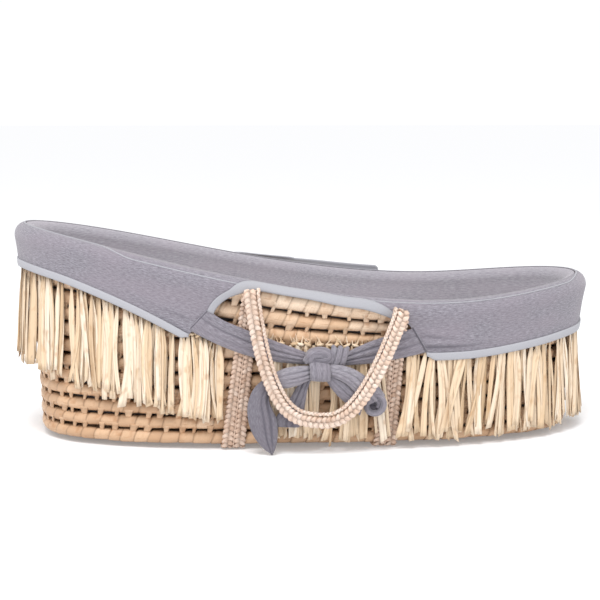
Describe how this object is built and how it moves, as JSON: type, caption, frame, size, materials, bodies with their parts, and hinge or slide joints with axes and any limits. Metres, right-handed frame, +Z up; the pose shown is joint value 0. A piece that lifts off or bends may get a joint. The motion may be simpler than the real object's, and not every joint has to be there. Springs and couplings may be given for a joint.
{
  "type": "moses basket",
  "caption": "Long oval cradle of coiled palm leaf with a raised head end, plaited carrying handles, a jersey cover with bows, a raffia fringe and a loose mattress.",
  "frame": {"origin": "on the floor under the middle of the basket", "axes": "+X towards the foot end, +Y towards the rear side, +Z up"},
  "size_m": [0.8349, 0.4536, 0.2993],
  "materials": {
    "palm_leaf": "coils wrapped and stitched with split palm leaf, pale straw to light tan, satin",
    "palm_plait": "round plait of split palm leaf, pale straw, satin",
    "raffia": "loose flat leaf ribbons, cream to straw, slightly glossy",
    "jersey": "grey marl cotton jersey, fine knit with pale and dark flecks, matt",
    "tape": "pale grey folded cotton binding, stitched along its edge, matt",
    "ticking": "off-white quilted cotton mattress cover, matt"
  },
  "bodies": {
    "basket": {"base_spiral": "palm_leaf", "cover_floor": "jersey", "cover_lining": "jersey", "foot_skirt": "jersey", "foot_skirt_tape": "tape", "foot_strap_plait_1": "palm_plait", "foot_strap_plait_2": "palm_plait", "fringe_foot": "raffia", "fringe_front": "raffia", "fringe_head": "raffia", "fringe_rear": "raffia", "front_bow_knot": "jersey", "front_bow_loop_foot": "jersey", "front_bow_loop_head": "jersey", "front_bow_tail_foot": "jersey", "front_bow_tail_head": "jersey", "front_opening_tape": "tape", "front_tie_crossing": "jersey", "front_tie_foot": "jersey", "front_tie_head": "jersey", "head_short_coil_1": "palm_leaf", "head_short_coil_2": "palm_leaf", "head_short_coil_3": "palm_leaf", "head_skirt": "jersey", "head_skirt_tape": "tape", "head_strap_plait_1": "palm_plait", "head_strap_plait_2": "palm_plait", "rear_bow_knot": "jersey", "rear_bow_loop_foot": "jersey", "rear_bow_loop_head": "jersey", "rear_bow_tail_foot": "jersey", "rear_bow_tail_head": "jersey", "rear_opening_tape": "tape", "rear_tie_crossing": "jersey", "rear_tie_foot": "jersey", "rear_tie_head": "jersey", "rim_coil": "palm_leaf", "wall_coil_01": "palm_leaf", "wall_coil_02": "palm_leaf", "wall_coil_03": "palm_leaf", "wall_coil_04": "palm_leaf", "wall_coil_05": "palm_leaf", "wall_coil_06": "palm_leaf", "wall_coil_07": "palm_leaf", "wall_coil_08": "palm_leaf", "wall_coil_09": "palm_leaf"},
    "front_handle": {"front_handle_inner_plait": "palm_plait", "front_handle_outer_plait": "palm_plait"},
    "rear_handle": {"rear_handle_inner_plait": "palm_plait", "rear_handle_outer_plait": "palm_plait"},
    "mattress": {"mattress": "ticking"}
  },
  "joints": [
    {"name": "front_handle_swing", "type": "hinge", "parent": "basket", "child": "front_handle", "pos_m": [0.0105, -0.223, 0.20331], "axis": [-0.9898, 0, 0.1425], "range_deg": [0, 200]},
    {"name": "rear_handle_swing", "type": "hinge", "parent": "basket", "child": "rear_handle", "pos_m": [0.0105, 0.223, 0.20331], "axis": [0.9898, 0, -0.1425], "range_deg": [0, 200]},
    {"name": "mattress_lift", "type": "slide", "parent": "basket", "child": "mattress", "axis": [0, 0, 1], "range_m": [0, 0.3]}
  ]
}
